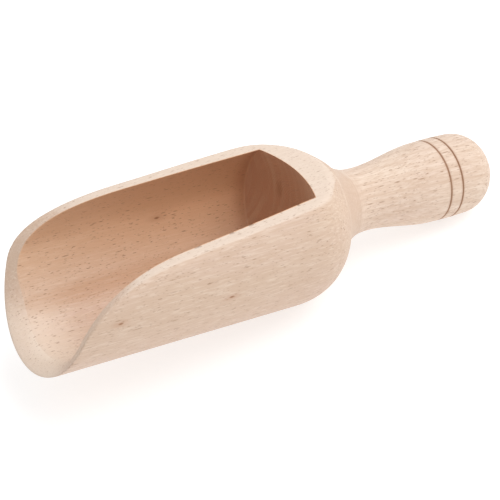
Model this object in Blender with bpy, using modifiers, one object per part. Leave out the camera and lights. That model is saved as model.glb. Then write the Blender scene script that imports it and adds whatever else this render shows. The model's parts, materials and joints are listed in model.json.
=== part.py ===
# Turned beech scoop: a bored bowl with an oblique mouth, and a turned handle glued into it.
# The scoop lies at rest on its rounded shoulder and the belly of the handle, mouth slightly raised.
# +X runs from the mouth to the end of the handle, +Z is up, and the floor is Z = 0.
import math

import bmesh
import bpy
from mathutils import Matrix, Vector

# Driving dimensions in metres, measured along and around the turning axis from the tip of the lip
LENGTH = 0.224                 # tip of the lip to the end of the handle
BOWL_RADIUS = 0.036            # outside of the bowl where the shoulder begins
MOUTH_RADIUS = 0.035           # outside of the bowl at the mouth
WALL = 0.0050                  # thickness of the bowl's wall
BORE_DEPTH = 0.1182            # lip to the rim of the cavity's back wall
BACK_DISH = 0.0089             # hollow in the middle of the back wall
SHOULDER_START = 0.1120        # where the straight side turns into the shoulder
SHOULDER_REACH = 0.0312        # length that the full shoulder curve would have
SHOULDER_SHARP = (2.35, 2.10)  # superellipse exponents along and across the axis
ARRIS_X = 0.1358               # edge between the shoulder and the cove behind it
COVE_POWER = 2.6               # how tightly the cove turns into the neck
NECK_X = 0.1570                # thinnest place of the neck
NECK_RADIUS = 0.0139
JOINT_X = 0.1482               # face where the handle meets the bowl
GRIP_X = 0.1910                # start of the full grip
GRIP_RADIUS = 0.0180
GRIP_SWELL = 0.0002            # the grip is slightly fuller in its middle
CAP_X = 0.2080                 # start of the rounded end
GROOVES_X = (0.1935, 0.1998)   # the two decorative grooves
GROOVE_WIDTH = 0.0009
GROOVE_DEPTH = 0.0005
TENON_RADIUS = 0.0070
TENON_LENGTH = 0.0140
SOCKET_SPARE = 0.0006          # room for glue at the bottom of the socket
GAP = 0.0003                   # clearance between the two pieces

LIP_ANGLE = math.radians(72.6)     # steep front of the mouth cut
RIM_ANGLE = math.radians(5.37)     # long straight part of the mouth cut
RIM_HEIGHT = 0.0227                # height of the rim over the axis at the back wall
CURVE_START_X = 0.0083             # the steep and the long part are joined by a curve
CURVE_END_X = 0.0560
LIP_LEAN = 0.75                    # the lip's face leans back this far per depth into the wall

BOWL_SIDES = 88
HANDLE_SIDES = 60
SHOULDER_POINTS = 12
COVE_POINTS = 7
DISH_POINTS = 6
GRIP_POINTS = 14
CAP_POINTS = 10
CURVE_POINTS = 12
LIP_POINTS = 12                    # points down the steep front of the mouth cut
LIP_SLICES = 29                    # slices across the mouth cutter where its face leans
MARGIN = 0.02                      # how far a cutter stands past what it cuts


def clear_scene():
    for obj in list(bpy.data.objects):
        bpy.data.objects.remove(obj, do_unlink=True)


def new_collection(name):
    collection = bpy.data.collections.new(name)
    bpy.context.scene.collection.children.link(collection)
    return collection


def wood(name, colour, roughness):
    material = bpy.data.materials.new(name)
    material.use_nodes = True
    shader = material.node_tree.nodes["Principled BSDF"]
    shader.inputs["Base Color"].default_value = (*colour, 1.0)
    shader.inputs["Roughness"].default_value = roughness
    shader.inputs["Metallic"].default_value = 0.0
    return material


def cove_radius(x):
    """Outside radius between the shoulder's edge and the thinnest place of the neck."""
    share = (NECK_X - x) / (NECK_X - ARRIS_X)
    return NECK_RADIUS + (arris_radius() - NECK_RADIUS) * share ** COVE_POWER


def shoulder_point(angle):
    along, across = SHOULDER_SHARP
    x = SHOULDER_START + SHOULDER_REACH * math.sin(angle) ** (2 / along)
    return x, BOWL_RADIUS * math.cos(angle) ** (2 / across)


def arris_angle():
    along = SHOULDER_SHARP[0]
    share = (ARRIS_X - SHOULDER_START) / SHOULDER_REACH
    return math.asin(share ** (along / 2))


def arris_radius():
    return shoulder_point(arris_angle())[1]


def grip_radius(x):
    """Outside radius of the handle up to its rounded end."""
    if x < NECK_X:
        return cove_radius(x)
    share = min((x - NECK_X) / (GRIP_X - NECK_X), 1.0)
    ease = share * share * (3 - 2 * share)
    swell = max(0.0, (x - GRIP_X) * (CAP_X - x) / ((CAP_X - GRIP_X) / 2) ** 2)
    return NECK_RADIUS + (GRIP_RADIUS - NECK_RADIUS) * ease + GRIP_SWELL * swell


def spread(start, end, count):
    return [start + (end - start) * i / (count - 1) for i in range(count)]


def bowl_outline():
    """Outside of the bowl as (x, radius), from the open front to the joint face."""
    points = [(-MARGIN, MOUTH_RADIUS)]
    points += [shoulder_point(a) for a in spread(0.0, arris_angle(), SHOULDER_POINTS)]
    points += [(x, cove_radius(x)) for x in spread(ARRIS_X, JOINT_X, COVE_POINTS)[1:]]
    return points


def handle_outline():
    """Outside of the handle as (x, radius), from the joint face to the end on the axis."""
    xs = spread(JOINT_X + GAP, GRIP_X, GRIP_POINTS)
    points = [(x, grip_radius(x)) for x in xs]
    for groove in GROOVES_X:
        for offset, depth in ((-0.5, 0.0), (0.0, GROOVE_DEPTH), (0.5, 0.0)):
            x = groove + offset * GROOVE_WIDTH
            points.append((x, grip_radius(x) - depth))
    for angle in spread(0.0, math.pi / 2, CAP_POINTS):
        x = CAP_X + (LENGTH - CAP_X) * math.sin(angle)
        points.append((x, GRIP_RADIUS * math.cos(angle)))
    points[-1] = (LENGTH, 0.0)
    return points


def cavity_outline():
    """The bore as (x, radius), from in front of the mouth to the middle of the dished back wall."""
    rim = BOWL_RADIUS - WALL
    points = [(-MARGIN, MOUTH_RADIUS - WALL)]
    for share in spread(1.0, 0.0, DISH_POINTS):
        points.append((BORE_DEPTH + BACK_DISH * (1 - share * share), rim * share))
    return points


def mouth_outline():
    """Side view of what the oblique cut takes away, as (x, z) over the axis."""
    steep, shallow = math.tan(LIP_ANGLE), math.tan(RIM_ANGLE)
    rim_at_zero = RIM_HEIGHT - shallow * BORE_DEPTH
    corner_x = (rim_at_zero + MOUTH_RADIUS) / (steep - shallow)
    corner = Vector((corner_x, rim_at_zero + shallow * corner_x))
    start = Vector((CURVE_START_X, steep * CURVE_START_X - MOUTH_RADIUS))
    end = Vector((CURVE_END_X, rim_at_zero + shallow * CURVE_END_X))
    below = MARGIN / steep
    points = [Vector((-below, -MOUTH_RADIUS - MARGIN))]
    for z in spread(-MOUTH_RADIUS, start.y, LIP_POINTS)[:-1]:
        points.append(Vector(((z + MOUTH_RADIUS) / steep, z)))
    for t in spread(0.0, 1.0, CURVE_POINTS):
        points.append(start * (1 - t) ** 2 + corner * 2 * t * (1 - t) + end * t * t)
    far_x = LENGTH
    top = BOWL_RADIUS + MARGIN
    points += [Vector((far_x, rim_at_zero + shallow * far_x)), Vector((far_x, top))]
    points += [Vector((-2 * MARGIN, top)), Vector((-2 * MARGIN, -MOUTH_RADIUS - MARGIN))]
    return points


def turned(name, outline, sides, collection):
    """A solid of revolution about X. The profile runs down its outer side on a vertical axis first."""
    profile = bmesh.new()
    if outline[0][1] > 0:
        outline = [(outline[0][0], 0.0)] + outline
    if outline[-1][1] > 0:
        outline = outline + [(outline[-1][0], 0.0)]
    verts = [profile.verts.new((radius, 0.0, -x)) for x, radius in outline]
    for first, second in zip(verts, verts[1:]):
        profile.edges.new((first, second))
    mesh = bpy.data.meshes.new(name)
    profile.to_mesh(mesh)
    profile.free()
    obj = bpy.data.objects.new(name, mesh)
    collection.objects.link(obj)
    screw = obj.modifiers.new("Turning", "SCREW")
    screw.steps = sides
    screw.render_steps = sides
    screw.use_merge_vertices = True
    screw.merge_threshold = 0.00001
    obj.rotation_euler = (0.0, -math.pi / 2, 0.0)
    return obj


def applied(obj):
    """Replace an object by the mesh that its modifiers and its rotation give."""
    bpy.context.view_layer.update()
    evaluated = obj.evaluated_get(bpy.context.evaluated_depsgraph_get())
    mesh = bpy.data.meshes.new_from_object(evaluated)
    mesh.transform(obj.matrix_world)
    obj.modifiers.clear()
    obj.data = mesh
    obj.matrix_world = Matrix.Identity(4)
    return obj


def hide_cutter(cutter):
    cutter.hide_render = True
    cutter.display_type = "WIRE"


def extruded_side(name, outline, half_width, collection):
    """A flat outline in the XZ plane, filled and made thick along Y."""
    curve = bpy.data.curves.new(name, "CURVE")
    curve.dimensions = "2D"
    curve.fill_mode = "BOTH"
    curve.extrude = half_width
    spline = curve.splines.new("POLY")
    spline.points.add(len(outline) - 1)
    for point, (x, z) in zip(spline.points, outline):
        point.co = (x, z, 0.0, 1.0)
    spline.use_cyclic_u = True
    source = bpy.data.objects.new(name + "_outline", curve)
    source.rotation_euler = (math.pi / 2, 0.0, 0.0)
    collection.objects.link(source)
    bpy.context.view_layer.update()
    mesh = bpy.data.meshes.new_from_object(source.evaluated_get(bpy.context.evaluated_depsgraph_get()))
    mesh.transform(source.matrix_world)
    welded = bmesh.new()
    welded.from_mesh(mesh)
    bmesh.ops.remove_doubles(welded, verts=welded.verts, dist=0.00001)
    bmesh.ops.recalc_face_normals(welded, faces=welded.faces)
    welded.to_mesh(mesh)
    welded.free()
    obj = bpy.data.objects.new(name, mesh)
    collection.objects.link(obj)
    bpy.data.objects.remove(source, do_unlink=True)
    return obj


def lean_lip(cutter):
    """Lean the steep face of the mouth cutter back towards the axis, so that the lip gets a thin edge."""
    sliced = bmesh.new()
    sliced.from_mesh(cutter.data)
    for y in spread(-MOUTH_RADIUS, MOUTH_RADIUS, LIP_SLICES):
        everything = sliced.verts[:] + sliced.edges[:] + sliced.faces[:]
        bmesh.ops.bisect_plane(sliced, geom=everything, plane_co=(0.0, y, 0.0), plane_no=(0.0, 1.0, 0.0))
    for vertex in sliced.verts:
        x, y, z = vertex.co
        depth = min(max(MOUTH_RADIUS - math.hypot(y, z), 0.0), 1.5 * WALL)
        fade = min(max(1.0 - x / CURVE_END_X, 0.0), 1.0)
        vertex.co.x += LIP_LEAN * depth * fade
    bmesh.ops.triangulate(sliced, faces=sliced.faces[:])
    sliced.to_mesh(cutter.data)
    sliced.free()


def cut(target, cutter):
    boolean = target.modifiers.new(cutter.name, "BOOLEAN")
    boolean.operation = "DIFFERENCE"
    boolean.solver = "EXACT"
    boolean.object = cutter
    hide_cutter(cutter)


def shade_round(obj):
    obj.data.shade_smooth()
    obj.data.set_sharp_from_angle(angle=math.radians(35))


def make_bowl(parts, cutters):
    bowl = applied(turned("bowl", bowl_outline(), BOWL_SIDES, parts))
    cavity = applied(turned("cavity", cavity_outline(), BOWL_SIDES, cutters))
    mouth = extruded_side("mouth_cut", mouth_outline(), BOWL_RADIUS + MARGIN, cutters)
    lean_lip(mouth)
    depth = TENON_LENGTH + SOCKET_SPARE
    socket_sides = [(JOINT_X - depth, TENON_RADIUS + GAP), (JOINT_X + MARGIN, TENON_RADIUS + GAP)]
    socket = applied(turned("socket", socket_sides, HANDLE_SIDES // 2, cutters))
    for cutter in (cavity, mouth, socket):
        cut(bowl, cutter)
    bowl.data.materials.append(wood("bowl_beech", (0.80, 0.60, 0.44), 0.62))
    return applied(bowl)


def make_handle(parts):
    tenon_end = JOINT_X - TENON_LENGTH
    outline = [(tenon_end, TENON_RADIUS), (JOINT_X + GAP, TENON_RADIUS)] + handle_outline()
    handle = applied(turned("handle", outline, HANDLE_SIDES, parts))
    handle.data.materials.append(wood("handle_beech", (0.82, 0.62, 0.47), 0.60))
    return handle


def lowest(outline, tilt):
    """How far an outline's underside reaches below the axis point at the lip, at this tilt."""
    return max(x * math.sin(tilt) + radius * math.cos(tilt) for x, radius in outline)


def rest_tilt():
    """Tilt at which the shoulder and the belly of the handle touch the floor together."""
    bowl, handle = bowl_outline()[1:], handle_outline()
    low, high = 0.0, math.radians(45)
    for _ in range(60):
        tilt = (low + high) / 2
        if lowest(bowl, tilt) > lowest(handle, tilt):
            low = tilt
        else:
            high = tilt
    return tilt


def lay_down(parts):
    """Tip the scoop back onto its two supports and centre it over the origin."""
    tilt = rest_tilt()
    turn = Matrix.Rotation(tilt, 4, "Y")
    points = []
    for obj in parts:
        obj.data.transform(turn)
        points += [vertex.co for vertex in obj.data.vertices]
    middle_x = (min(p.x for p in points) + max(p.x for p in points)) / 2
    floor = min(p.z for p in points)
    for obj in parts:
        obj.data.transform(Matrix.Translation((-middle_x, 0.0, -floor)))
    print("tilt in degrees", round(math.degrees(tilt), 3))


def main():
    clear_scene()
    parts = new_collection("grain_scoop")
    cutters = new_collection("cutters")
    bowl = make_bowl(parts, cutters)
    handle = make_handle(parts)
    lay_down([bowl, handle])
    for obj in (bowl, handle):
        shade_round(obj)


main()
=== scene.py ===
import json
import math
import bpy
from mathutils import Matrix, Vector


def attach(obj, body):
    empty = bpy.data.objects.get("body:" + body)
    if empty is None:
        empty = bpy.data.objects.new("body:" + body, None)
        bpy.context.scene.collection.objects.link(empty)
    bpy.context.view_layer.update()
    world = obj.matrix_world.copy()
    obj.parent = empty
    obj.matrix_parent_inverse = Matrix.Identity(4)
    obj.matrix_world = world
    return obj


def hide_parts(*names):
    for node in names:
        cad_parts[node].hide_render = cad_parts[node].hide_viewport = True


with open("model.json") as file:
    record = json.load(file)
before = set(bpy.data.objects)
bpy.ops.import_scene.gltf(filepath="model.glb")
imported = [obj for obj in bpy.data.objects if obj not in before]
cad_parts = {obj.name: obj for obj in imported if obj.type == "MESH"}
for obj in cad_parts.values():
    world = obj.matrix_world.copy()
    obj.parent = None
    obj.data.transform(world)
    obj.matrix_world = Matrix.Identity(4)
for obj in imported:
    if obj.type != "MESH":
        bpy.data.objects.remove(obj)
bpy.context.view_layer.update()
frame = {"record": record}
scene = bpy.context.scene
scene.view_settings.view_transform = "Standard"


# Node maths written as plain arithmetic

class Value:
    # a number or a vector that comes out of a node
    def __init__(self, tree, socket):
        self.tree = tree
        self.socket = socket

    def math(self, operation, *others):
        node = self.tree.nodes.new("ShaderNodeMath")
        node.operation = operation
        for value, spot in zip((self,) + others, node.inputs):
            plug(self.tree, value, spot)
        return Value(self.tree, node.outputs[0])

    def vectorMath(self, operation, *others, output="Vector"):
        node = self.tree.nodes.new("ShaderNodeVectorMath")
        node.operation = operation
        spots = [node.inputs[0], node.inputs["Scale"]] if operation == "SCALE" else node.inputs
        for value, spot in zip((self,) + others, spots):
            plug(self.tree, value, spot)
        return Value(self.tree, node.outputs[output])

    def __add__(self, other): return self.math("ADD", other)
    def __radd__(self, other): return self.math("ADD", other)
    def __sub__(self, other): return self.math("SUBTRACT", other)
    def __rsub__(self, other): return number(self.tree, other).math("SUBTRACT", self)
    def __mul__(self, other): return self.math("MULTIPLY", other)
    def __rmul__(self, other): return self.math("MULTIPLY", other)
    def __truediv__(self, other): return self.math("DIVIDE", other)
    def __rtruediv__(self, other): return number(self.tree, other).math("DIVIDE", self)
    def __pow__(self, other): return self.math("POWER", other)
    def __neg__(self): return self.math("MULTIPLY", -1.0)

    def least(self, other): return self.math("MINIMUM", other)
    def most(self, other): return self.math("MAXIMUM", other)
    def root(self): return self.most(0.0).math("SQRT")
    def over(self, other): return self.math("GREATER_THAN", other)
    def under(self, other): return self.math("LESS_THAN", other)
    def size(self): return self.math("ABSOLUTE")
    def wave(self): return self.math("SINE")
    def length(self): return self.vectorMath("LENGTH", output="Value")
    def dot(self, other): return self.vectorMath("DOT_PRODUCT", other, output="Value")
    def scaled(self, share): return self.vectorMath("SCALE", share)
    def times(self, other): return self.vectorMath("MULTIPLY", other)
    def within(self, low, high): return self.most(low).least(high)

    def parts(self):
        node = self.tree.nodes.new("ShaderNodeSeparateXYZ")
        plug(self.tree, self, node.inputs[0])
        return [Value(self.tree, out) for out in node.outputs]

    # goes softly from start to end while the value goes from low to high
    def between(self, low, high, start=0.0, end=1.0):
        node = self.tree.nodes.new("ShaderNodeMapRange")
        node.interpolation_type = "SMOOTHSTEP"
        for spot, value in enumerate((self, low, high, start, end)):
            plug(self.tree, value, node.inputs[spot])
        return Value(self.tree, node.outputs[0])

    # goes softly from 1 down to 0
    def fading(self, low, high): return self.between(low, high, 1.0, 0.0)

    # 1 at a place, 0 beyond a distance from it
    def near(self, place, core, reach): return (self - place).size().fading(core, reach)


def plug(tree, value, socket):
    if isinstance(value, Value):
        tree.links.new(value.socket, socket)
    else:
        socket.default_value = value


def number(tree, amount):
    node = tree.nodes.new("ShaderNodeValue")
    node.outputs[0].default_value = amount
    return Value(tree, node.outputs[0])


def vector(tree, x, y, z):
    node = tree.nodes.new("ShaderNodeCombineXYZ")
    for value, spot in zip((x, y, z), node.inputs):
        plug(tree, value, spot)
    return Value(tree, node.outputs[0])


def pick(switch, low, high):
    # low where the switch is 0, high where it is 1
    return low + (high - low) * switch


def mixColour(tree, share, first, second):
    node = tree.nodes.new("ShaderNodeMix")
    node.data_type = "RGBA"
    for value, spot in ((share, 0), (first, 6), (second, 7)):
        if isinstance(value, tuple):
            value = (*value, 1.0)
        plug(tree, value, node.inputs[spot])
    return Value(tree, node.outputs[2])


def noise(tree, place, detail=2.0, roughness=0.5):
    node = tree.nodes.new("ShaderNodeTexNoise")
    plug(tree, place, node.inputs["Vector"])
    node.inputs["Scale"].default_value = 1.0
    node.inputs["Detail"].default_value = detail
    node.inputs["Roughness"].default_value = roughness
    return Value(tree, node.outputs["Fac"])


def cells(tree, place):
    # distance to the nearest scattered point, and a random colour for it
    node = tree.nodes.new("ShaderNodeTexVoronoi")
    plug(tree, place, node.inputs["Vector"])
    node.inputs["Scale"].default_value = 1.0
    return Value(tree, node.outputs["Distance"]), Value(tree, node.outputs["Color"])


def newGroup(name, inputs, sizes, outputs):
    # a geometry tree with its sizes as named inputs; whole numbers become whole number inputs
    group = bpy.data.node_groups.new(name, "GeometryNodeTree")
    for label, kind in inputs:
        group.interface.new_socket(label, in_out="INPUT", socket_type="NodeSocket" + kind)
    for label, start in sizes.items():
        kind = "NodeSocketInt" if isinstance(start, int) else "NodeSocketFloat"
        group.interface.new_socket(label, in_out="INPUT", socket_type=kind).default_value = start
    for label, kind in outputs:
        group.interface.new_socket(label, in_out="OUTPUT", socket_type="NodeSocket" + kind)
    given = group.nodes.new("NodeGroupInput")
    result = group.nodes.new("NodeGroupOutput")
    return group, {item.name: Value(group, item) for item in given.outputs if item.name}, result


def addNode(tree, kind, settings=None, **links):
    node = tree.nodes.new(kind)
    for name, value in (settings or {}).items():
        setattr(node, name, value)
    for name, value in links.items():
        plug(tree, value, node.inputs[name.replace("_", " ")])
    return node


def geometryNode(tree, kind, mesh, settings=None, **links):
    # a node that takes a mesh and hands it on
    return Value(tree, addNode(tree, kind, settings, Geometry=mesh, **links).outputs[0])


def finishTree(tree, mesh, given, result):
    mesh = geometryNode(tree, "GeometryNodeRealizeInstances", mesh)
    mesh = geometryNode(tree, "GeometryNodeSetMaterial", mesh, Material=given["Material"])
    plug(tree, mesh, result.inputs["Geometry"])


# How the scoop lies: its turning axis falls towards the handle. The flat land behind the cavity
# is a mount in the record, and gives the tilt and the place of the axis.

rimSlope = math.tan(math.radians(5.37))     # of the rim and the land, against the axis

axisSettings = {
    "landAlong": 129.0,      # millimetres along the axis to the mount on the land
    "rimAlong": 118.2,       # and to the rim's end at the back wall, with its height over the axis
    "rimHeight": 22.7,
}


def axisPlace(settings):
    land = frame["record"]["mounts"][0]
    tilt = math.atan2(land["axis"][0], land["axis"][2]) + math.atan(rimSlope)
    height = settings["rimHeight"] + rimSlope * (settings["landAlong"] - settings["rimAlong"])
    onAxis = Vector((settings["landAlong"], 0.0, height)) / 1000
    return tilt, Vector(land["pos_m"]) - Matrix.Rotation(tilt, 4, "Y") @ onAxis


axisTilt, axisStart = axisPlace(axisSettings)
toRow = Matrix.Translation(axisStart) @ Matrix.Rotation(axisTilt, 4, "Y")
print("axis tilt", round(math.degrees(axisTilt), 2), "starts at", [round(v, 4) for v in axisStart])

# The hollow that both pieces share, in millimetres along and around the turning axis
hollowSizes = {
    "Neck Along": 157.0,
    "Neck Radius": 13.9,
    "Arris Along": 135.8,
    "Arris Radius": 25.146,
    "Cove Power": 2.6,
}


# The bowl: a turned block, bored out, with its mouth cut off on a slope

bowlSettings = {
    "Mouth Radius": 35.0,
    "Bowl Radius": 36.0,
    "Wall": 5.0,
    "Shoulder Along": 112.0,
    "Shoulder Reach": 31.2,
    "Bore Depth": 118.2,
    "Back Dish": 8.9,
    "Lip Slope": math.tan(math.radians(72.6)),
    "Rim Slope": rimSlope,
    "Rim Height": 22.7,
    "Curve Start": 8.3,
    "Curve End": 56.0,
    "Lip Lean": 0.75,
    "Joint Along": 148.2,
    "Socket Radius": 7.3,
    "Socket Depth": 14.6,
    "Inner Edge": 0.25,      # rounding of the edges, from the sharp inner one to the soft land
    "Lip Bevel": 4.6,
    "Lip Edge": 0.75,
    "Rim Edge": 2.0,
    "Land Edge": 3.0,
    "Flat Edge": 0.8,
    "Back Corner": 0.5,
    "Sanded Flat": 102.6,    # how far out the hand-worked corner is
    "Skin": 0.025,           # taken off all round, so the round faces stay inside the facets of the solids
    "Voxel": 0.75,
}

bowlSurfaces = ("Distance", "Body", "Cavity", "Outer", "Mouth", "Joint", "Rounding", "Outer Edge")
flatFacing = (0.611, -0.554, 0.563)     # the way the hand-worked corner faces
shoulderPowers = (2.35, 2.10)           # how square the shoulder is along and across the axis
turnedBefore = 20.0                     # the taper starts this far in front of the lip


def roundMeeting(first, second, radius):
    # the rounded edge where two cuts meet, each given as a distance that is above zero outside
    u = (first + radius).most(0.0)
    v = (second + radius).most(0.0)
    return (first.most(second)).least(-radius) + (u * u + v * v).root()


def bowlDistanceGroup(sizes):
    outputs = [(label, "Float") for label in bowlSurfaces]
    group, s, result = newGroup("bowlDistance", [("Place", "Vector")], sizes, outputs)
    x, y, z = s["Place"].parts()
    radius = (y * y + z * z).root()
    run = s["Neck Along"] - s["Arris Along"]

    # outside: a straight taper, a shoulder and the hollow that runs into the neck
    taper = (s["Bowl Radius"] - s["Mouth Radius"]) / (s["Shoulder Along"] + turnedBefore)
    straight = s["Mouth Radius"] + (x + turnedBefore) * taper
    alongPower, acrossPower = shoulderPowers
    u = ((x - s["Shoulder Along"]) / s["Shoulder Reach"]).within(0.00001, 0.995)
    rest = 1.0 - u ** alongPower
    shoulder = s["Bowl Radius"] * rest ** (1 / acrossPower)
    shoulderSlope = s["Bowl Radius"] * (rest ** (1 / acrossPower - 1)) * (u ** (alongPower - 1))
    shoulderSlope = shoulderSlope * (alongPower / acrossPower) / s["Shoulder Reach"]
    share = ((s["Neck Along"] - x) / run).within(0.00001, 1.3)
    drop = s["Arris Radius"] - s["Neck Radius"]
    cove = s["Neck Radius"] + drop * share ** s["Cove Power"]
    coveSlope = drop * s["Cove Power"] * share ** (s["Cove Power"] - 1.0) / run
    past = x.over(s["Arris Along"])
    profile = pick(past, straight.least(shoulder), cove)
    slope = pick(past, shoulderSlope, coveSlope)
    outer = (radius - profile) / (slope * slope + 1.0).root()

    # the mouth: a steep lip that leans in towards the axis, a curve and a long straight rim
    lean = s["Lip Lean"] * (s["Mouth Radius"] - radius).within(0.0, s["Wall"] * 1.5)
    leaned = (x - lean) / (1.0 - lean / s["Curve End"])
    along = pick(x.over(s["Curve End"]), pick(x.over(lean), x - lean, leaned), x)
    rimZero = s["Rim Height"] - s["Rim Slope"] * s["Bore Depth"]
    cornerX = (rimZero + s["Mouth Radius"]) / (s["Lip Slope"] - s["Rim Slope"])
    cornerZ = rimZero + s["Rim Slope"] * cornerX
    startZ = s["Lip Slope"] * s["Curve Start"] - s["Mouth Radius"]
    endZ = rimZero + s["Rim Slope"] * s["Curve End"]
    bendX = s["Curve Start"] - cornerX * 2.0 + s["Curve End"]
    runX = (cornerX - s["Curve Start"]) * 2.0
    step = ((runX * runX - bendX * 4.0 * (s["Curve Start"] - along)).root() - runX) / (bendX * 2.0)
    step = step.within(0.0, 1.0)
    bendZ = startZ - cornerZ * 2.0 + endZ
    runZ = (cornerZ - startZ) * 2.0
    curveZ = startZ + runZ * step + bendZ * step * step
    curveSlope = (runZ + bendZ * step * 2.0) / (runX + bendX * step * 2.0)
    lipZ = s["Lip Slope"] * along - s["Mouth Radius"]
    rimZ = rimZero + s["Rim Slope"] * along
    cutZ = pick(along.over(s["Curve End"]), pick(along.over(s["Curve Start"]), lipZ, curveZ), rimZ)
    leaning = lean.over(0.001) * s["Lip Lean"]
    steep = curveSlope * curveSlope
    mouth = (z - cutZ) / (1.0 + steep * (1.0 + leaning * leaning)).root()

    edge = x.between(4.0, 30.0, s["Lip Edge"], s["Rim Edge"])
    edge = edge - x.between(60.0, 100.0, 0.0, 0.9) + x.between(108.0, 130.0, 0.0, s["Land Edge"])
    body = roundMeeting(outer, mouth, edge)
    flat = s["Place"].dot(flatFacing) - s["Sanded Flat"]
    body = roundMeeting(body, flat, s["Flat Edge"])
    joint = x - s["Joint Along"]
    body = body.most(joint)

    # the bore and its dished back wall
    boreEnd = s["Bowl Radius"] - s["Wall"]
    boreStart = s["Mouth Radius"] - s["Wall"]
    boreTaper = (boreEnd - boreStart) / (s["Bore Depth"] + turnedBefore)
    bore = boreStart + (x + turnedBefore) * boreTaper - radius
    hollow = radius / boreEnd
    back = s["Bore Depth"] + s["Back Dish"] * (1.0 - hollow * hollow) - x
    backSlope = s["Back Dish"] * 2.0 * hollow / boreEnd
    back = back / (backSlope * backSlope + 1.0).root()
    cavity = -roundMeeting(-bore, -back, s["Back Corner"])
    front = x.fading(16.0, 34.0) * z.fading(-25.0, -7.0)
    rounding = s["Inner Edge"] + front * (s["Lip Bevel"] - s["Inner Edge"])
    solid = roundMeeting(body, cavity, rounding)

    # the hidden socket for the handle's tenon
    socket = (s["Socket Radius"] - radius).least(x - (s["Joint Along"] - s["Socket Depth"]))
    solid = solid.most(socket) + s["Skin"]
    for label, value in zip(bowlSurfaces, (solid, body, cavity, outer, mouth, joint, rounding, edge)):
        plug(group, value, result.inputs[label])
    return group


def bowlTree(sizes):
    distance = bowlDistanceGroup(sizes)
    inputs = [("Geometry", "Geometry"), ("Material", "Material")]
    tree, given, result = newGroup("boredBowl", inputs, sizes, [("Geometry", "Geometry")])

    def measure(place):
        node = tree.nodes.new("GeometryNodeGroup")
        node.node_tree = distance
        plug(tree, place, node.inputs["Place"])
        for name in sizes:
            plug(tree, given[name], node.inputs[name])
        return {out.name: Value(tree, out) for out in node.outputs}

    # the steepest direction of each of the named distances
    def steepest(place, labels, step=0.05):
        pairs = []
        for offset in ((step, 0, 0), (0, step, 0), (0, 0, step)):
            ahead = measure(place.vectorMath("ADD", offset))
            behind = measure(place.vectorMath("SUBTRACT", offset))
            pairs.append([(ahead[label] - behind[label]) * (0.5 / step) for label in labels])
        return [vector(tree, *sides) for sides in zip(*pairs)]

    # the way to the edge line where two cuts cross, and how far off it is
    def wayToEdge(place, labels, rounding):
        there = measure(place)
        first, second = steepest(place, labels)
        inset = there[rounding] * 0.29 if rounding else 0.0      # the middle of the rounding
        gapA, gapB = there[labels[0]] + inset, there[labels[1]] + inset
        a, b, c = first.dot(first), second.dot(second), first.dot(second)
        spread = (a * b - c * c).most(0.05)
        moveA, moveB = (b * gapA - c * gapB) / spread, (a * gapB - c * gapA) / spread
        way = first.scaled(moveA).vectorMath("ADD", second.scaled(moveB))
        return way.scaled(-1.0), way.length(), there

    def setPosition(mesh, offset):
        return geometryNode(tree, "GeometryNodeSetPosition", mesh, Offset=offset)

    def store(mesh, name, kind, value, domain="POINT"):
        settings = {"data_type": kind, "domain": domain}
        return geometryNode(tree, "GeometryNodeStoreNamedAttribute", mesh, settings, Name=name, Value=value)

    def recall(name):
        named = addNode(tree, "GeometryNodeInputNamedAttribute", {"data_type": "FLOAT"}, Name=name)
        return Value(tree, named.outputs[0])

    position = addNode(tree, "GeometryNodeInputPosition")
    place = Value(tree, position.outputs[0])
    density = (0.5 - measure(place)["Distance"] / 3.0).within(0.0, 1.0)
    low, high = (-3.0, -38.5, -38.5), (151.5, 38.5, 38.5)       # the block that the bowl is found in
    cube = addNode(tree, "GeometryNodeVolumeCube", Density=density, Min=low, Max=high)
    for name, size in zip("XYZ", (high[i] - low[i] for i in range(3))):
        steps = number(tree, size) / given["Voxel"]
        plug(tree, steps, cube.inputs["Resolution " + name])
    shell = addNode(tree, "GeometryNodeVolumeToMesh", {"resolution_mode": "GRID"},
                    Volume=Value(tree, cube.outputs[0]), Threshold=0.5)
    mesh = Value(tree, shell.outputs[0])
    for _ in range(3):
        gradient, = steepest(place, ["Distance"])
        size = gradient.dot(gradient).most(0.01)
        mesh = setPosition(mesh, gradient.scaled(-(measure(place)["Distance"].within(-0.6, 0.6) / size)))

    # corners close to an edge line slide onto it, so the edges run clean through the mesh
    edges = (
        (("Body", "Cavity"), "Rounding", "nearRim", 1.25),
        (("Outer", "Mouth"), "Outer Edge", "nearLip", 1.1),
        (("Outer", "Joint"), None, "nearJoint", 0.72),
    )
    for labels, rounding, mark, reach in edges:
        way, off, there = wayToEdge(place, labels, rounding)
        close = (given["Voxel"] * reach).math("GREATER_THAN", off)
        if rounding:
            close = close * there[rounding].under(0.95)
        for label in labels:
            close = close * there[label].size().under(1.0)
        mesh = store(mesh, mark, "FLOAT", close)
        for _ in range(3):
            way, off, there = wayToEdge(place, labels, rounding)
            mesh = setPosition(mesh, way.scaled(recall(mark) * (0.5 / off.most(0.5))))

    mesh = geometryNode(tree, "GeometryNodeMergeByDistance", mesh, Distance=0.06)

    # each corner of a face takes the direction found a little way into that face, so edges stay crisp
    corner = addNode(tree, "GeometryNodeFaceOfCorner")
    middle = addNode(tree, "GeometryNodeFieldAtIndex", {"domain": "FACE", "data_type": "FLOAT_VECTOR"},
                     Value=place, Index=Value(tree, corner.outputs["Face Index"]))
    toMiddle = Value(tree, middle.outputs[0]).vectorMath("SUBTRACT", place).scaled(0.45)
    facing, = steepest(place.vectorMath("ADD", toMiddle), ["Distance"])
    mesh = store(mesh, "facing", "FLOAT_VECTOR", facing.vectorMath("NORMALIZE"), "CORNER")
    finishTree(tree, mesh, given, result)
    return tree


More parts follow.
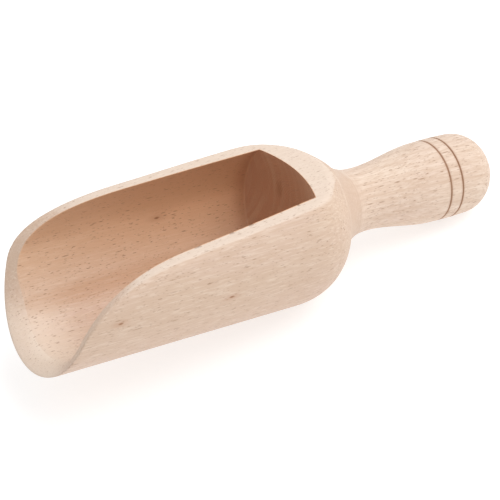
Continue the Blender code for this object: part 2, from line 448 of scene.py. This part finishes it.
def grow(name, tree, inputs):
    # run a tree on a new object and keep its result as a plain mesh in the scoop's place
    obj = bpy.data.objects.new(name, bpy.data.meshes.new(name))
    bpy.context.collection.objects.link(obj)
    modifier = obj.modifiers.new(name, "NODES")
    modifier.node_group = tree
    for item in tree.interface.items_tree:
        if item.in_out == "INPUT" and item.name in inputs:
            modifier[item.identifier] = inputs[item.name]
    bpy.context.view_layer.update()
    evaluated = obj.evaluated_get(bpy.context.evaluated_depsgraph_get())
    mesh = bpy.data.meshes.new_from_object(evaluated)
    obj.modifiers.clear()
    obj.data = mesh
    mesh.transform(toRow @ Matrix.Scale(0.001, 4))
    mesh.shade_smooth()
    if "facing" in mesh.attributes:
        turn = toRow.to_3x3()
        facing = [turn @ Vector(item.vector) for item in mesh.attributes["facing"].data]
        mesh.normals_split_custom_set(facing)
    else:
        mesh.set_sharp_from_angle(angle=math.radians(60))
    for extra in ("facing", "nearRim", "nearLip", "nearJoint"):
        if extra in mesh.attributes:
            mesh.attributes.remove(mesh.attributes[extra])
    print(name, len(mesh.polygons), "faces")
    return obj


# Beech: rings seen along the grain, fibre streaks, short dark flecks, turned and burnt places

woodSettings = {
    "light": (0.735, 0.590, 0.475),
    "dark": (0.610, 0.440, 0.325),
    "pink": (0.665, 0.490, 0.405),
    "fleck": (0.335, 0.190, 0.115),
    "inside": (0.790, 0.470, 0.272),
    "endGrain": (0.465, 0.225, 0.128),
    "scorch": (0.330, 0.160, 0.080),
    "pith": (78.0, 52.0),          # where the middle of the tree lay, across the axis
    "ringSpacing": 3.4,
    "bleached": (0.900, 0.780, 0.660),
    "paleFibre": (0.860, 0.740, 0.640),
    "upFacingLight": (0.860, 0.750, 0.650),
    "roughness": 0.56,
    "reliefDepth": 0.00016,        # metres
    "turningPitch": 4.4,           # of the lathe's fine lines, as an angle for each millimetre
}


def flecks(tree, place, fleck, seed):
    # short dashes along the grain, scattered, of many lengths and strengths
    length, width, amount = fleck
    spot = place.times((1 / length, 1 / width, 1 / width))
    distance, colour = cells(tree, spot.vectorMath("ADD", (seed, seed * 0.7, seed * 1.3)))
    strength, size, _ = colour.parts()
    reach = 0.14 + size * 0.20
    return distance.fading(reach * 0.35, reach) * strength.between(1.0 - amount, 1.12 - amount)


def turningLines(tree, settings, colour, x, share):
    # fine rings left by the lathe, dark and light in turn
    turned = (x * settings["turningPitch"]).wave() * share
    return mixColour(tree, (turned * 0.5 + 0.5) * share * 0.26, colour, settings["dark"]), turned * 0.35


def beech(name, settings):
    material = bpy.data.materials.new(name)
    material.use_nodes = True
    tree = material.node_tree
    shader = tree.nodes["Principled BSDF"]
    coords = tree.nodes.new("ShaderNodeTexCoord")
    mapping = tree.nodes.new("ShaderNodeMapping")
    mapping.vector_type = "TEXTURE"
    mapping.inputs["Location"].default_value = axisStart
    mapping.inputs["Rotation"].default_value = (0.0, axisTilt, 0.0)
    mapping.inputs["Scale"].default_value = (0.001, 0.001, 0.001)
    tree.links.new(coords.outputs["Object"], mapping.inputs["Vector"])
    place = Value(tree, mapping.outputs[0])
    x, y, z = place.parts()
    radius = (y * y + z * z).root()
    axis, up = (tuple(toRow.to_3x3() @ Vector(way)) for way in ((1, 0, 0), (0, 0, 1)))
    facing = Value(tree, coords.outputs["Normal"])
    facingUp = facing.dot(up)
    endGrain = facing.dot(axis).size().between(0.45, 0.95)

    # growth rings, wandering a little along the length
    wander = noise(tree, place.times((0.012, 0.035, 0.035)), detail=1.0) - 0.5
    ripple = noise(tree, place.times((0.05, 0.16, 0.16)), detail=2.0) - 0.5
    acrossY, acrossZ = y - settings["pith"][0], z - settings["pith"][1]
    ringAt = (acrossY * acrossY + acrossZ * acrossZ).root() + wander * 16.0 + ripple * 2.6 + x * 0.035
    phase = (ringAt / settings["ringSpacing"]).math("FRACT")
    late = phase.between(0.35, 0.93) * phase.fading(0.94, 1.0)
    bands = noise(tree, vector(tree, ringAt * 0.09, x * 0.002, 0.0), detail=2.0)

    # fibres
    fine = noise(tree, place.times((0.07, 2.1, 2.1)), detail=3.0, roughness=0.6)
    streak = noise(tree, place.times((0.055, 1.05, 1.05)), detail=2.0, roughness=0.6)
    coarse = noise(tree, place.times((0.022, 0.55, 0.55)), detail=2.0)
    cloud = noise(tree, place.times((0.016, 0.045, 0.045)), detail=2.0)

    small = flecks(tree, place, settings["smallFlecks"], 3.0)
    large = flecks(tree, place, settings["largeFlecks"], 11.0)
    tiny = flecks(tree, place, settings["tinyFlecks"], 23.0)
    marks = (small * 0.9 + large * 0.85 + tiny * 0.8).least(1.0) * (1.0 - endGrain)
    calm = settings["calm"](x)         # where turning has left the wood smooth and almost without flecks
    marks = marks * (1.0 - calm)

    dark = settings["dark"]
    grainy = noise(tree, place.times((0.17, 1.45, 1.45)), detail=1.5)
    pinkShare = (cloud.between(0.38, 0.70) * 0.45 + z.between(-32.0, 6.0, 0.5, 0.0)).least(1.0)
    colour = mixColour(tree, pinkShare, settings["light"], settings["pink"])
    colour = mixColour(tree, (late * 0.40 + bands.between(0.4, 0.7) * 0.30).least(1.0), colour, dark)
    colour = mixColour(tree, coarse.between(0.40, 0.75) * 0.30, colour, dark)
    colour = mixColour(tree, fine.between(0.45, 0.85) * 0.40, colour, dark)
    colour = mixColour(tree, streak.between(0.45, 0.70) * 0.30, colour, dark)
    open = 1.0 - calm * 0.7
    colour = mixColour(tree, grainy.between(0.48, 0.68) * open * 0.50, colour, dark)
    colour = mixColour(tree, grainy.fading(0.32, 0.47) * open * 0.20, colour, settings["bleached"])
    colour = mixColour(tree, fine.fading(0.25, 0.48) * 0.22, colour, settings["paleFibre"])
    where = (x, y, z, radius, ringAt, fine, facingUp, endGrain)
    colour, marks, lift = settings["places"](tree, settings, colour, marks, where)
    colour = mixColour(tree, marks * settings["fleckStrength"], colour, settings["fleck"])
    plug(tree, colour, shader.inputs["Base Color"])

    rough = settings["roughness"] + (grainy - 0.5) * 0.2 + (fine - 0.5) * 0.22
    rough = rough + marks * 0.14 + (cloud - 0.5) * 0.10 - calm * 0.05
    plug(tree, rough.within(0.3, 0.85), shader.inputs["Roughness"])
    shader.inputs["Specular IOR Level"].default_value = 0.32
    shader.inputs["Sheen Weight"].default_value = 0.05
    shader.inputs["Sheen Roughness"].default_value = 0.5
    bump = tree.nodes.new("ShaderNodeBump")
    bump.inputs["Strength"].default_value = 0.6
    bump.inputs["Distance"].default_value = settings["reliefDepth"]
    height = fine * 0.35 + coarse * 0.2 - grainy.between(0.5, 0.7) * 0.35 - marks * 0.9 - late * 0.10
    plug(tree, height + lift, bump.inputs["Height"])
    tree.links.new(bump.outputs[0], shader.inputs["Normal"])
    return material


# What differs over the bowl

bowlTones = {
    "cutFace": (0.880, 0.740, 0.610),
    "heart": (0.520, 0.280, 0.150),
    "arc": (0.560, 0.340, 0.210),
    "litEnd": (0.620, 0.400, 0.260),
    "arrisLight": (0.900, 0.790, 0.680),
}


def bowlCalm(x):
    return x.between(137.5, 139.5) * 0.85


def bowlPlaces(tree, settings, colour, marks, where):
    x, y, z, radius, ringAt, fine, facingUp, endGrain = where
    dark, tones = settings["dark"], settings["tones"]
    inBore = ((x + turnedBefore) / 138.2 + 30.35).over(radius)
    share = radius / 31.0
    inside = inBore * (share * share * -8.9 + 127.4).over(x)
    outside = 1.0 - inside

    # the bore is browner in its own colour, and painted shade browns it more high up and far in; painted
    # top light makes the up-facing sawn rim and land paler
    deep = x.between(6.0, 118.0)
    high = (z + y * 0.45).between(-24.0, 16.0)
    boreBrownAndShade = inside * (0.04 + high * 0.52 + deep * 0.34).least(1.0)
    colour = mixColour(tree, boreBrownAndShade, colour, settings["inside"])
    colour = mixColour(tree, outside * facingUp.between(0.86, 0.97) * 0.46, colour, settings["upFacingLight"])

    # the figure of the heart on the far side of the bore, and painted light that makes the bevel low on the
    # lip paler
    heart = (ringAt * 0.21).wave().between(-0.3, 1.0) * inside * y.between(6.0, 20.0)
    colour = mixColour(tree, heart * 0.48, colour, tones["heart"])
    bevel = x.fading(10.0, 34.0) * z.fading(-29.0, -18.0) * (radius - 35.4).fading(-1.0, 0.2)
    colour = mixColour(tree, bevel * 0.55, colour, tones["cutFace"])

    # the back wall and the lip show the ends of the fibres, with the rings as curved lines
    fromSide = vector(tree, 0.0, y - 62.0, (z - 8.0) * 0.8).length()
    unevenly = noise(tree, vector(tree, fromSide * 0.22, z * 0.02, 3.0))
    arcs = (fromSide * 1.5 + unevenly * 16.0).wave().between(-0.6, 1.0)
    arcs = arcs * unevenly.between(0.3, 0.7) * 0.4 + fine * 0.4
    wallColour = mixColour(tree, arcs, settings["endGrain"], tones["arc"])
    wallColour = mixColour(tree, y.between(-26.0, 8.0, 0.85, 0.0), wallColour, tones["litEnd"])
    core = vector(tree, 0.0, y - 14.0, (z - 6.0) * 0.4).length()
    wallColour = mixColour(tree, core.between(0.4, 2.4, 0.5, 0.0), wallColour, settings["scorch"])
    # painted shade: the bore darkens towards its corner with the back wall
    colour = mixColour(tree, inside * x.between(110.0, 118.5) * 0.55, colour, settings["endGrain"])
    colour = mixColour(tree, endGrain * inside * x.over(60.0), colour, wallColour)
    rounds = (radius * 3.1).wave() * 0.5 + 0.5
    lipShade = endGrain * outside * (0.34 + rounds * 0.10) * z.between(-24.0, -6.0)
    colour = mixColour(tree, lipShade, colour, dark)

    # pin knots
    for knotX, knotY, knotZ, size in settings["knots"]:
        away = vector(tree, (x - knotX) * 0.45, y - knotY, z - knotZ).length()
        colour = mixColour(tree, away.fading(size * 0.5, size * 3.2) * 0.30, colour, settings["endGrain"])
        colour = mixColour(tree, away.fading(size * 0.25, size * 0.8) * 0.9, colour, settings["scorch"])

    # turning lines in the hollow, and at the edge between it and the shoulder a painted shade line with a
    # painted highlight on its bowl side
    colour, lift = turningLines(tree, settings, colour, x, x.between(136.0, 138.5))
    colour = mixColour(tree, x.near(136.0, 0.15, 0.75) * outside * 0.35, colour, dark)
    colour = mixColour(tree, (x - 134.8).size().between(0.2, 1.1, 0.14, 0.0), colour, tones["arrisLight"])
    lift = lift - (radius * 7.0).wave() * endGrain * inside * 0.25
    return colour, marks * (1.0 + inside * 0.25), lift


bowlLook = {
    **woodSettings,
    "light": (0.660, 0.498, 0.380),
    "pink": (0.630, 0.455, 0.375),
    "tones": bowlTones,
    "tinyFlecks": (2.4, 0.60, 0.92),       # spacing along and across the grain, share that shows
    "smallFlecks": (4.2, 0.85, 0.55),
    "largeFlecks": (8.0, 1.3, 0.22),
    "fleckStrength": 0.60,
    "knots": [(75.0, 30.4, -4.6, 0.9), (24.4, -35.3, -0.5, 0.8), (72.5, -35.6, -2.9, 0.8)],
    "calm": bowlCalm,
    "places": bowlPlaces,
}
bowlWood = beech("bowlWood", bowlLook)
bowlSizes = {**bowlSettings, **hollowSizes}
bowl = grow("turnedBowl", bowlTree(bowlSizes), {**bowlSizes, "Material": bowlWood})
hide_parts("bowl")
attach(bowl, "root")


# The handle: one turned profile swept round the axis, with a tenon at its hidden end

handleSettings = {
    "Tenon Radius": 7.0,
    "Tenon Start": 134.2,
    "Face Along": 148.22,
    "Grip Along": 191.0,
    "Grip Radius": 18.0,
    "Swell": 0.2,
    "Cap Along": 208.0,
    "End Along": 224.0,
    "First Groove": 193.5,
    "Second Groove": 199.8,
    "Groove Width": 0.9,
    "Groove Depth": 0.5,
    "Edge Wear": 0.045,
    "Skin": 0.025,
    "Rows": 400,
    "Sides": 220,
}


def handleTree(sizes):
    inputs = [("Geometry", "Geometry"), ("Material", "Material")]
    tree, s, result = newGroup("turnedProfile", inputs, sizes, [("Geometry", "Geometry")])
    grid = addNode(tree, "GeometryNodeMeshGrid", Size_X=1.0, Size_Y=1.0)
    plug(tree, s["Rows"], grid.inputs["Vertices X"])
    plug(tree, s["Sides"], grid.inputs["Vertices Y"])
    position = addNode(tree, "GeometryNodeInputPosition")
    u, v, _ = Value(tree, position.outputs[0]).parts()
    share, angle = (u + 0.5).within(0.0, 1.0), (v + 0.5) * (2.0 * math.pi)

    # the share of the rows spent on each part: tenon's end, tenon, joint face, grip and cap
    def stage(low, high):
        return ((share - low) / (high - low)).within(0.0, 1.0)

    body = stage(0.12, 0.86)
    cap = stage(0.86, 1.0) * (math.pi / 2)
    along = s["Tenon Start"] + stage(0.02, 0.09) * (s["Face Along"] - s["Tenon Start"])
    along = along + body * (s["Cap Along"] - s["Face Along"])
    along = along + cap.wave() * (s["End Along"] - s["Cap Along"])

    # outside: the end of the hollow, the neck's long swell into the grip, two grooves
    run = s["Neck Along"] - s["Arris Along"]
    hollow = ((s["Neck Along"] - along) / run).within(0.0, 1.0)
    neck = s["Neck Radius"] + (s["Arris Radius"] - s["Neck Radius"]) * hollow ** s["Cove Power"]
    rise = ((along - s["Neck Along"]) / (s["Grip Along"] - s["Neck Along"])).within(0.0, 1.0)
    ease = rise * rise * (3.0 - rise * 2.0)
    halfGrip = (s["Cap Along"] - s["Grip Along"]) / 2.0
    swell = ((along - s["Grip Along"]) * (s["Cap Along"] - along) / (halfGrip * halfGrip)).most(0.0)
    outside = neck + (s["Grip Radius"] - s["Neck Radius"]) * ease + s["Swell"] * swell
    for groove in ("First Groove", "Second Groove"):
        off = ((along - s[groove]) / (s["Groove Width"] * 0.5)).size()
        outside = outside - s["Groove Depth"] * off.fading(0.1, 1.0)
    outside = outside * cap.math("COSINE").most(0.0)
    edgeWear = body.between(0.0, 0.003, s["Edge Wear"], s["Skin"])
    tenon = s["Tenon Radius"] * stage(0.0, 0.02)
    radius = tenon + stage(0.09, 0.12) * (outside - edgeWear - s["Tenon Radius"])
    placed = vector(tree, along, radius * angle.math("COSINE"), radius * angle.wave())
    mesh = geometryNode(tree, "GeometryNodeSetPosition", Value(tree, grid.outputs["Mesh"]), Position=placed)
    mesh = geometryNode(tree, "GeometryNodeMergeByDistance", mesh, Distance=0.004)
    finishTree(tree, mesh, s, result)
    return tree


def handleCalm(x):
    return x.fading(149.5, 152.5) * 0.85


def handlePlaces(tree, settings, colour, marks, where):
    x, fine = where[0], where[5]
    for groove in settings["grooves"]:
        burnt = x.near(groove, 0.30, 0.62) * (0.60 + fine * 0.3)
        colour = mixColour(tree, x.near(groove, 0.35, 1.5) * 0.22, colour, settings["scorch"])
        colour = mixColour(tree, burnt, colour, settings["scorch"])
    colour, lift = turningLines(tree, settings, colour, x, x.fading(149.5, 152.5))
    return colour, marks, lift


handleLook = {
    **woodSettings,
    "pith": (-66.0, -58.0),
    "light": (0.790, 0.640, 0.520),
    "tinyFlecks": (2.6, 0.62, 0.95),
    "smallFlecks": (5.0, 0.90, 0.65),
    "largeFlecks": (9.0, 1.3, 0.42),
    "fleckStrength": 0.70,
    "grooves": (handleSettings["First Groove"], handleSettings["Second Groove"]),
    "calm": handleCalm,
    "places": handlePlaces,
}
handleWood = beech("handleWood", handleLook)
handleSizes = {**handleSettings, **hollowSizes}
handle = grow("turnedHandle", handleTree(handleSizes), {**handleSizes, "Material": handleWood})
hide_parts("handle")
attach(handle, "root")


# Camera, looking down at the near side from the mouth's end

cameraSettings = {
    "place": (-0.22529, -0.42755, 0.40811),
    "right": (0.848448, -0.519909, -0.099150),
    "up": (0.392479, 0.492333, 0.776896),
    "lens": 105.77,
}


def addCamera(settings):
    data = bpy.data.cameras.new("scoopCamera")
    data.lens = settings["lens"]
    data.clip_start = 0.01
    obj = bpy.data.objects.new("scoopCamera", data)
    bpy.context.collection.objects.link(obj)
    right = Vector(settings["right"]).normalized()
    up = Vector(settings["up"])
    up = (up - right * up.dot(right)).normalized()
    turn = Matrix((right, up, right.cross(up))).transposed().to_4x4()
    obj.matrix_world = Matrix.Translation(settings["place"]) @ turn
    scene.camera = obj


# Studio: white floor and world, a broad soft light from above and behind

studioSettings = {
    "world": 0.69,
    "floorGlow": 0.60,
    "floorColour": 0.55,
    "keyPlace": (0.42, -0.22, 0.86),
    "keySize": 0.9,
    "keyPower": 6.4,
}


def addStudio(settings):
    world = bpy.data.worlds.new("studio")
    scene.world = world
    world.use_nodes = True
    world.node_tree.nodes["Background"].inputs["Color"].default_value = (1.0, 1.0, 1.0, 1.0)
    world.node_tree.nodes["Background"].inputs["Strength"].default_value = settings["world"]
    bpy.ops.mesh.primitive_plane_add(size=4)
    floor = bpy.context.object
    floor.name = "studioFloor"
    paper = bpy.data.materials.new("paper")
    paper.use_nodes = True
    shader = paper.node_tree.nodes["Principled BSDF"]
    grey = settings["floorColour"]
    shader.inputs["Base Color"].default_value = (grey, grey, grey, 1.0)
    shader.inputs["Roughness"].default_value = 1.0
    shader.inputs["Specular IOR Level"].default_value = 0.0
    shader.inputs["Emission Color"].default_value = (1.0, 1.0, 1.0, 1.0)
    shader.inputs["Emission Strength"].default_value = settings["floorGlow"]
    floor.data.materials.append(paper)
    light = bpy.data.lights.new("softbox", "AREA")
    light.energy = settings["keyPower"]
    light.size = settings["keySize"]
    obj = bpy.data.objects.new("softbox", light)
    obj.location = settings["keyPlace"]
    obj.rotation_euler = Vector(settings["keyPlace"]).to_track_quat("Z", "Y").to_euler()
    bpy.context.collection.objects.link(obj)


addCamera(cameraSettings)
addStudio(studioSettings)
print("camera and studio ready")
